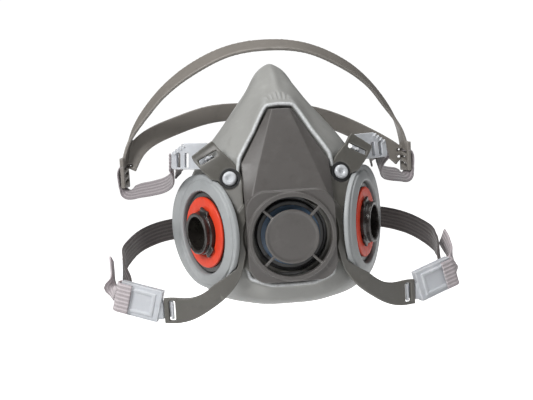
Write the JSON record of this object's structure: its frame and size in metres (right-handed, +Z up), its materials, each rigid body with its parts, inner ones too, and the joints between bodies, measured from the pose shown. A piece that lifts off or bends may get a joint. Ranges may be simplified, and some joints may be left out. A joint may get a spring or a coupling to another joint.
{
  "type": "reusable half-mask respirator",
  "caption": "Reusable half-mask respirator with twin bayonet filter ports, a front exhalation valve and an adjustable head harness.",
  "frame": {"origin": "middle of the face opening, on the mask's mid plane", "axes": "+X to the right seen from the front, +Y towards the wearer, +Z up towards the nose"},
  "size_m": [0.2097, 0.1285, 0.1635],
  "materials": {
    "facepiece_rubber": "satin moulded elastomer",
    "collar_rubber": "satin moulded elastomer",
    "yoke_plastic": "fine matte moulding",
    "cover_plastic": "fine matte moulding",
    "bayonet_plastic": "satin moulding",
    "gasket_rubber": "smooth matte",
    "seat_plastic": "smooth",
    "valve_rubber": "smooth silicone",
    "flap_rubber": "thin smooth silicone",
    "stud_plastic": "smooth",
    "clear_plastic": "clear moulding",
    "webbing": "ribbed elastic webbing",
    "cradle_plastic": "satin flexible moulding",
    "clasp_plastic": "smooth"
  },
  "bodies": {
    "facepiece": {"face_shell": "facepiece_rubber", "harness_yoke": "yoke_plastic", "exhalation_seat": "seat_plastic", "port_collar_left": "collar_rubber", "bayonet_left": "bayonet_plastic", "port_gasket_left": "gasket_rubber", "yoke_stud_left": "stud_plastic", "port_collar_right": "collar_rubber", "bayonet_right": "bayonet_plastic", "port_gasket_right": "gasket_rubber", "yoke_stud_right": "stud_plastic"},
    "front_cover": {"front_cover": "cover_plastic"},
    "exhalation_valve": {"exhalation_valve": "valve_rubber"},
    "head_harness": {"crown_cradle": "cradle_plastic", "upper_buckle_left": "clear_plastic", "upper_strap_left": "webbing", "upper_strap_tail_left": "webbing", "upper_buckle_right": "clear_plastic", "upper_strap_right": "webbing", "upper_strap_tail_right": "webbing"},
    "inhalation_valve_left": {"inhalation_valve_left": "flap_rubber"},
    "neck_strap_left": {"lower_buckle_left": "clear_plastic", "lower_strap_left": "webbing", "lower_strap_tail_left": "webbing", "neck_clasp_left": "clasp_plastic"},
    "inhalation_valve_right": {"inhalation_valve_right": "flap_rubber"},
    "neck_strap_right": {"lower_buckle_right": "clear_plastic", "lower_strap_right": "webbing", "lower_strap_tail_right": "webbing", "neck_clasp_right": "clasp_plastic"}
  },
  "joints": [
    {"name": "cover_pull", "type": "slide", "parent": "facepiece", "child": "front_cover", "axis": [0, -1, 0], "range_m": [0, 0.02]},
    {"name": "exhale", "type": "slide", "parent": "facepiece", "child": "exhalation_valve", "axis": [0, -1, 0], "range_m": [0, 0.0015], "stiffness_N_per_m": 60},
    {"name": "harness_swing", "type": "hinge", "parent": "facepiece", "child": "head_harness", "pos_m": [0, -0.0368, 0.0452], "axis": [1, 0, 0], "range_deg": [0, 30]},
    {"name": "inhale_left", "type": "slide", "parent": "facepiece", "child": "inhalation_valve_left", "axis": [0.8832, 0.4691, 0], "range_m": [0, 0.0012], "stiffness_N_per_m": 40},
    {"name": "neck_strap_swing_left", "type": "hinge", "parent": "facepiece", "child": "neck_strap_left", "pos_m": [-0.0688, -0.0402, -0.0405], "axis": [0, 0, 1], "range_deg": [0, 25]},
    {"name": "inhale_right", "type": "slide", "parent": "facepiece", "child": "inhalation_valve_right", "axis": [-0.8832, 0.4691, 0], "range_m": [0, 0.0012], "stiffness_N_per_m": 40},
    {"name": "neck_strap_swing_right", "type": "hinge", "parent": "facepiece", "child": "neck_strap_right", "pos_m": [0.0688, -0.0402, -0.0405], "axis": [0, 0, -1], "range_deg": [0, 25]}
  ]
}
